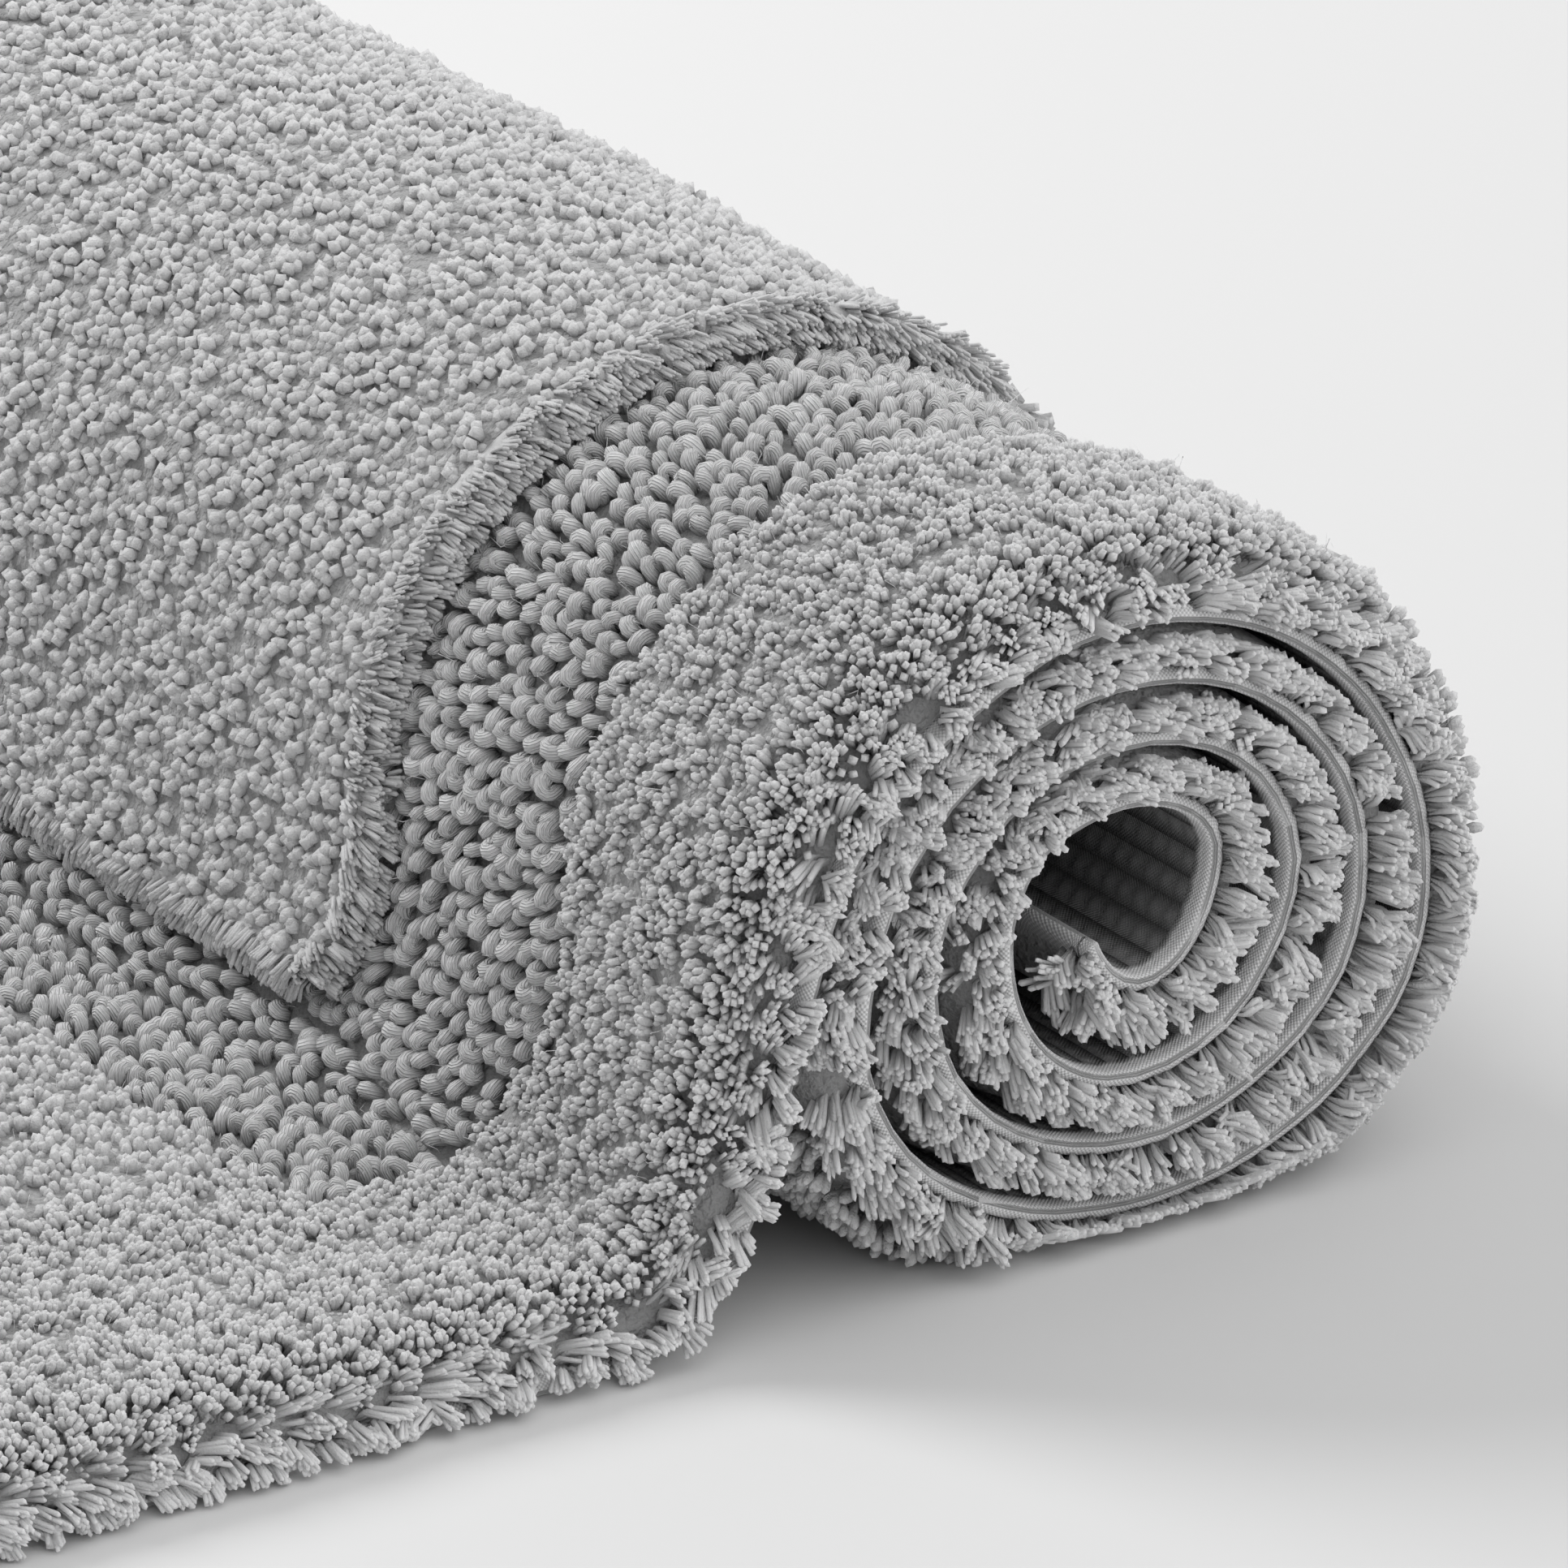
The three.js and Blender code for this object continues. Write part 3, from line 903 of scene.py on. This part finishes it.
def make_cloth(material):
    """The ground cloth with the lower half of its pile, one closed sheet."""
    rows, columns, backs = cloth_rows(), cloth_columns(), back_columns()
    along, side = np.meshgrid(rows, columns, indexing="ij")
    out = body_shift(inward(side))
    moved = side + waver(along, side) + np.where(side < WIDTH / 2, out, -out)
    moved_along = along - body_shift(LENGTH - along)
    front = lay(moved_along, moved, base_height(along, side))
    b_along, b_side = np.meshgrid(rows[1:-1], backs[1:-1], indexing="ij")
    inset = inset_at(b_along, b_side)
    back = lay(b_along, b_side + waver(b_along, b_side), np.interp(inset, HEM_INSET, HEM_BACK))
    front_index = np.arange(front.shape[0] * front.shape[1]).reshape(front.shape[:2])
    back_index = front_index.size + np.arange(back.shape[0] * back.shape[1]).reshape(back.shape[:2])
    full = np.concatenate([front_index[1:-1, :1], back_index, front_index[1:-1, -1:]], 1)
    faces = [grid_faces(front_index), grid_faces(full)[:, ::-1]]
    low = np.array(zipped(front_index[0], full[0], columns, backs))
    high = np.array(zipped(front_index[-1], full[-1], columns, backs))
    faces += [low[:, ::-1], high]
    points = np.concatenate([front.reshape(-1, 3), back.reshape(-1, 3)])
    faces = np.concatenate(faces)
    # For the material: values on the pile's side and on the underside.
    places = {
        "warp": (thread_places(along, LENGTH, HEM_TOP, 1), thread_places(b_along, LENGTH, HEM_BACK, -1)),
        "weft": (thread_places(side, WIDTH, HEM_TOP, 1), thread_places(b_side, WIDTH, HEM_BACK, -1)),
        "stitched": (0 * along, inset >= HEM_WIDE),
        "piled": (inset_at(along, side) > SEWN + 0.1, 0 * b_along),
        "far": (far_zone(along, side), 0 * b_along),
    }
    places = {key: np.concatenate([v.ravel() for v in pair]) for key, pair in places.items()}
    return add_mesh("mat_cloth", points, faces[:, ::-1], material, "ground_cloth", **places)


# Materials


MATT = {"Roughness": 0.95, "Specular IOR Level": 0.15, "Sheen Weight": 0.35, "Sheen Roughness": 0.5}


def feed(node, inputs):
    """Links the inputs that come from another node, and sets those that are plain values."""
    for key, value in inputs.items():
        if isinstance(value, bpy.types.NodeSocket):
            node.id_data.links.new(value, node.inputs[key])
        else:
            node.inputs[key].default_value = value


def add_node(tree, kind, inputs, operation=None):
    node = tree.nodes.new(kind)
    if operation:
        node.operation = operation
    feed(node, inputs)
    return node


def calc(tree, operation, *values):
    return add_node(tree, "ShaderNodeMath", dict(enumerate(values)), operation).outputs[0]


def product(tree, first, *others):
    for other in others:
        first = calc(tree, "MULTIPLY", first, other)
    return first


def map_range(tree, value, low, high, start=0.0, end=1.0):
    """The value with start to end brought to low to high, and no further."""
    ends = {"From Min": start, "From Max": end, "To Min": low, "To Max": high}
    return add_node(tree, "ShaderNodeMapRange", {"Value": value, **ends}).outputs[0]


def attribute(tree, name):
    node = tree.nodes.new("ShaderNodeAttribute")
    node.attribute_name = name
    return node.outputs["Fac"]


def wave_of(tree, value, step, phase=0.0):
    """A sine wave of a value, one wave each step, with a phase added to it."""
    turns = calc(tree, "MULTIPLY_ADD", value, 2 * math.pi / step, phase)
    return calc(tree, "SINE", turns)


def noise(tree, size):
    """Fine noise in the object's own space, with grains of this size in millimetres."""
    place = tree.nodes.new("ShaderNodeTexCoord").outputs["Object"]
    inputs = {"Vector": place, "Scale": 1 / (size * MM), "Detail": 2}
    return add_node(tree, "ShaderNodeTexNoise", inputs).outputs[0]


def add_bump(tree, height, depth, below=None):
    """Relief of a depth in millimetres, on top of the relief below."""
    inputs = {"Strength": 1.0, "Distance": depth * MM, "Height": height}
    if below:
        inputs["Normal"] = below
    return add_node(tree, "ShaderNodeBump", inputs).outputs["Normal"]


def ply_wave(tree, turns_round, turns_along):
    """The twisted threads of a yarn, running slantwise round it."""
    place = tree.nodes.new("ShaderNodeUVMap")
    place.uv_map = "lie"
    parts = add_node(tree, "ShaderNodeSeparateXYZ", {"Vector": place.outputs["UV"]})
    phase = calc(tree, "MULTIPLY", parts.outputs["X"], turns_round * 2 * math.pi)
    return wave_of(tree, parts.outputs["Y"], 1 / turns_along, phase)


def new_material(name):
    material = bpy.data.materials.new(name)
    material.use_nodes = True
    return material, material.node_tree


def matt_cloth(tree, shade, share, bump):
    """Soft matt cotton: its shade times a share that varies, and its relief."""
    colour = add_node(tree, "ShaderNodeVectorMath", {0: shade, "Scale": share}, "SCALE")
    look = {"Base Color": colour.outputs["Vector"], "Normal": bump, **MATT}
    feed(tree.nodes["Principled BSDF"], look)


def cotton(name, shade, bump_size, bump_depth, root_painted_shade, plies=None):
    """Cotton yarn: painted shade that darkens it towards its roots, a little uneven in colour, with fine
    fibre on it.
    """
    material, tree = new_material(name)
    # Painted shade: the cotton darkens towards the roots of its strands, as shade falls among them.
    painted_root_shade = map_range(tree, attribute(tree, "root"), root_painted_shade, 1.0, 0.3)
    vary = map_range(tree, attribute(tree, "own"), 0.9, 1.08)
    share = product(tree, painted_root_shade, vary)
    bump = add_bump(tree, noise(tree, bump_size), bump_depth)
    if plies:
        threads = ply_wave(tree, *plies)
        share = product(tree, share, map_range(tree, threads, PLY_PAINTED_SHADE, 1.0, -1.0))
        bump = add_bump(tree, threads, PLY_DEPTH, bump)
    matt_cloth(tree, shade, share, bump)
    return material


def plain_cloth(name, shade):
    """Ground cloth: a plain weave, with rows of back stitches inside the hem, painted shade under the pile
    and deep painted shade on the stitched back.
    """
    material, tree = new_material(name)
    warp, weft = attribute(tree, "warp"), attribute(tree, "weft")
    stitched, piled = attribute(tree, "stitched"), attribute(tree, "piled")
    bare = map_range(tree, piled, 1.0, 0.0)
    over, under = wave_of(tree, warp, 2 * WARP_STEP), wave_of(tree, weft, 2 * WARP_STEP)
    weave = product(tree, over, under, bare)
    rows = calc(tree, "ABSOLUTE", wave_of(tree, warp, 2 * RIB_STEP))
    stitches = calc(tree, "ABSOLUTE", wave_of(tree, weft, 2 * STITCH_STEP))
    relief = calc(tree, "ADD", product(tree, rows, stitches), rows)
    relief = product(tree, relief, stitched)
    tone = map_range(tree, weave, 0.66, 1.18, -1.0)
    # Painted shade on the stitched back, which shows inside the roll: very dark, darkest in the grooves
    # between rows and stitches.
    painted_rib_shade = product(tree, stitched, map_range(tree, relief, 0.05, 0.28, 0.0, 2.0))
    painted_back_shade = calc(tree, "ADD", painted_rib_shade, map_range(tree, stitched, 1.0, 0.0))
    # Painted shade on the pile's body between the tips, lighter under the far clumps.
    painted_shade_under_pile = map_range(tree, piled, 1.0, UNDER_PILE_PAINTED_SHADE)
    lighter = map_range(tree, attribute(tree, "far"), 0.0, FAR_BODY_PAINTED_SHADE - UNDER_PILE_PAINTED_SHADE)
    painted_shade_under_pile = calc(tree, "ADD", painted_shade_under_pile, lighter)
    bump = add_bump(tree, weave, 0.08)
    bump = add_bump(tree, relief, 0.6, bump)
    bump = add_bump(tree, product(tree, noise(tree, 1.3), piled), 1.6, bump)
    matt_cloth(tree, shade, product(tree, tone, painted_back_shade, painted_shade_under_pile), bump)
    return material


# Stage, camera and light


FLOOR_REACH = 6.0
FLOOR_LOOK = {"Base Color": (0.74, 0.74, 0.74, 1), "Roughness": 0.9, "Specular IOR Level": 0.1}
FLOOR_GAP = 0.0002


def make_stage():
    mesh = bpy.data.meshes.new("floor")
    corners = [(x * FLOOR_REACH, y * FLOOR_REACH, 0) for x, y in ((-1, -1), (1, -1), (1, 1), (-1, 1))]
    mesh.from_pydata(corners, [], [(0, 1, 2, 3)])
    floor = bpy.data.objects.new("floor", mesh)
    bpy.context.collection.objects.link(floor)
    material, tree = new_material("floor_white")
    feed(tree.nodes["Principled BSDF"], FLOOR_LOOK)
    mesh.materials.append(material)
    floor.location.z = -FLOOR_GAP


def make_camera():
    ahead = Vector((math.sin(YAW) * math.cos(PITCH), math.cos(YAW) * math.cos(PITCH), -math.sin(PITCH)))
    right = Vector((math.cos(YAW), -math.sin(YAW), 0))
    up = right.cross(ahead)
    distance = FOCAL_PX / PX_PER_MM
    aim = Vector((AIM_X + X_SHIFT, -WIDTH / 2, AIM_Z))
    across, below = ((px - FRAME_PX / 2) / FOCAL_PX * distance for px in AIM_PX)
    place = (aim - distance * ahead - across * right + below * up) * MM
    data = bpy.data.cameras.new("camera")
    data.sensor_width = SENSOR
    data.lens = FOCAL_PX * SENSOR / FRAME_PX
    data.clip_end = CLIP_END
    camera = bpy.data.objects.new("camera", data)
    camera.matrix_world = Matrix.Translation(place) @ Matrix((right, up, -ahead)).transposed().to_4x4()
    bpy.context.collection.objects.link(camera)
    bpy.context.scene.camera = camera


# Light: a studio that is brightest over the camera's right shoulder, and a wide lamp beyond the
# roll's far end, whose places and size are in metres.
GLOW_AXIS = (0.54, -0.60, 0.56)
GLOW_LOW = 0.07
GLOW_HIGH = 1.36
KEY_FROM = (-0.65, 1.45, 1.45)
KEY_AIM = (0.0, -0.2, 0.03)
KEY_SIZE = 1.1
KEY_POWER = 33


def make_lamp():
    data = bpy.data.lights.new("key", "AREA")
    data.shape = "DISK"
    data.size = KEY_SIZE
    data.energy = KEY_POWER
    light = bpy.data.objects.new("key", data)
    light.location = KEY_FROM
    light.rotation_euler = (Vector(KEY_AIM) - Vector(KEY_FROM)).to_track_quat("-Z", "Y").to_euler()
    bpy.context.collection.objects.link(light)


def make_studio():
    """Even light all round, rising with the square of the nearness to GLOW_AXIS."""
    bpy.context.scene.view_settings.view_transform = "Standard"
    world = bpy.data.worlds.new("studio")
    world.use_nodes = True
    tree = world.node_tree
    way = tree.nodes.new("ShaderNodeTexCoord").outputs["Generated"]
    axis = Vector(GLOW_AXIS).normalized()
    towards = add_node(tree, "ShaderNodeVectorMath", {0: way, 1: axis}, "DOT_PRODUCT")
    share = map_range(tree, towards.outputs["Value"], 0.0, 1.0, -1.0)
    glow = map_range(tree, product(tree, share, share), GLOW_LOW, GLOW_HIGH)
    feed(tree.nodes["Background"], {"Color": (1, 1, 1, 1), "Strength": glow})
    bpy.context.scene.world = world


# Building


COTTON_SHADE = (0.80, 0.80, 0.805)
# The far clumps use a darker copy of the pile's cotton: painted shade for the crevices they are too coarse
# to cast.
FAR_PILE_PAINTED_SHADE = (0.70, 0.70, 0.705)
# The loops use a lighter copy of the same cotton: painted light that lifts them out of the shade between
# them.
LOOP_SHADE_WITH_PAINTED_LIGHT = (0.92, 0.92, 0.925)
# A loop's yarn: plies round it, turns of them along it, the painted shade in the grooves between them and
# their relief.
PLIES = (14, 5)
PLY_PAINTED_SHADE = 0.84
PLY_DEPTH = 0.16

# Gaps between the tips and between the loops of each part.
BORDER_GAP = 1.42
TURNED_GAP = 1.85
END_GAP = 1.95
FIELD_GAP = 2.12
FAR_PILE_GAP = 4.7
FAR_RIM_GAP = 3.4
LOOP_GAP = 3.75
FAR_LOOP_GAP = 4.5
FUZZ_GAP = 7.2
BORDER_SPLIT = 850
ROLL_END = 690

pile = cotton("cotton_pile", COTTON_SHADE, 0.35, 0.3, 0.5)
mound = cotton("cotton_mound", FAR_PILE_PAINTED_SHADE, 1.2, 0.9, 0.45)
yarn = cotton("cotton_yarn", LOOP_SHADE_WITH_PAINTED_LIGHT, 0.35, 0.12, 0.5, PLIES)
strand = cotton("cotton_strand", COTTON_SHADE, 0.3, 0.2, 0.62)
nap = cotton("cotton_nap", COTTON_SHADE, 0.3, 0.2, 0.7)
ground = plain_cloth("ground_cloth", COTTON_SHADE)


def build_pile():
    rng = np.random.default_rng(7)
    whole = scatter((SHOWN_FROM, LENGTH + 0.5), (0.5, FINE_BORDER_SIDE + 3), BORDER_GAP, rng)
    along, side = pick(whole, lambda a, s: in_border(a, s) & (s < FINE_BORDER_SIDE))
    turned = pick(scatter((HIDDEN, SHOWN_FROM), (5.0, EDGE_SIDE), TURNED_GAP, rng), edge_zone)
    yield tips("border_turned", turned, TURNED_GAP, "dome", pile, rng)
    half = along < BORDER_SPLIT
    for name, keep in (("border_near_roll", half), ("border_near_flat", ~half)):
        yield tips(name, (along[keep], side[keep]), BORDER_GAP, "dome", pile, rng)
    lengths, sides = (LENGTH - END_BORDER - 4, LENGTH + 0.8), (FINE_BORDER_SIDE, FINE_END_SIDE)
    places = pick(scatter(lengths, sides, END_GAP, rng), in_border)
    yield tips("border_end", places, END_GAP, "dome", pile, rng)
    lengths = (SHOWN_FROM, FIELD_END + 3)
    places = pick(scatter(lengths, (85, FINE_FIELD_SIDE), FIELD_GAP, rng), in_field)
    yield tips("field", places, FIELD_GAP, "cone", pile, rng)
    whole = scatter((EXPOSED, LENGTH), (0, WIDTH + 0.5), FAR_PILE_GAP, rng)
    places = pick(whole, lambda a, s: (in_border(a, s) | in_field(a, s)) & far_zone(a, s))
    yield tips("pile_beyond", places, FAR_PILE_GAP, "pad", mound, rng, FAR_CLUMP)
    places = scatter((3, EXPOSED), (WIDTH - 6, WIDTH + 0.5), FAR_RIM_GAP, rng)
    yield tips("rim_beyond", places, FAR_RIM_GAP, "pad", mound, rng, FAR_CLUMP)


def build_loops():
    rng = np.random.default_rng(8)
    lengths, sides = (EXPOSED, LENGTH - END_BORDER + 2), (45, WIDTH - 45)
    along, side = pick(scatter(lengths, sides, LOOP_GAP, rng), in_band)
    close = (along > SHOWN_FROM) & (side < FINE_LOOP_SIDE)
    yield loops("loops", along[close], side[close], 6, 9, yarn, rng)
    along, side = pick(scatter(lengths, sides, FAR_LOOP_GAP, rng), in_band)
    beyond = (along <= SHOWN_FROM) | (side >= FINE_LOOP_SIDE)
    yield loops("loops_beyond", along[beyond], side[beyond], 4, 4, yarn, rng)


def build_rims():
    rng = np.random.default_rng(9)
    first, middle, last = 1.5, spread_at(ROLL_END), SPREAD[-1] - 1.5
    yield rim_fans("rim_rolled", RIM_ROWS[:4], first, middle, strand, rng)
    yield rim_fans("rim_near", RIM_ROWS, middle, last, strand, rng)
    yield rim_fans("rim_far", RIM_ROWS[:2], first, last, strand, rng, far=True)
    yield end_fans("rim_end", RIM_ROWS[1:4], strand, rng)


def build_fuzz():
    rng = np.random.default_rng(11)
    along, side = scatter((SHOWN_FROM, LENGTH - 10), (9, 120), FUZZ_GAP, rng)
    yield fuzz("fuzz", along, side, nap, rng)


def build_banks():
    rng = np.random.default_rng(10)
    first, shown, last = spread_at(EXPOSED), spread_at(SHOWN_FROM), spread_at(FIELD_END - 2)
    start, stop = FIELD_START + 2, WIDTH - FIELD_START - 2
    close = [("near", shown, last), ("end", start, FINE_LOOP_SIDE)]
    beyond = [("near", first, shown), ("far", first, last), ("end", FINE_LOOP_SIDE, stop)]
    yield lip("bank_body", shown, last, FINE_LOOP_SIDE, nap)
    yield bank_fans("bank", close, nap, rng)
    yield bank_fans("bank_beyond", beyond, nap, rng)


make_camera()
make_stage()
make_studio()
make_lamp()
cloth = make_cloth(ground)
pieces = [*build_pile(), *build_loops(), *build_rims(), *build_fuzz(), *build_banks()]

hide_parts("mat")
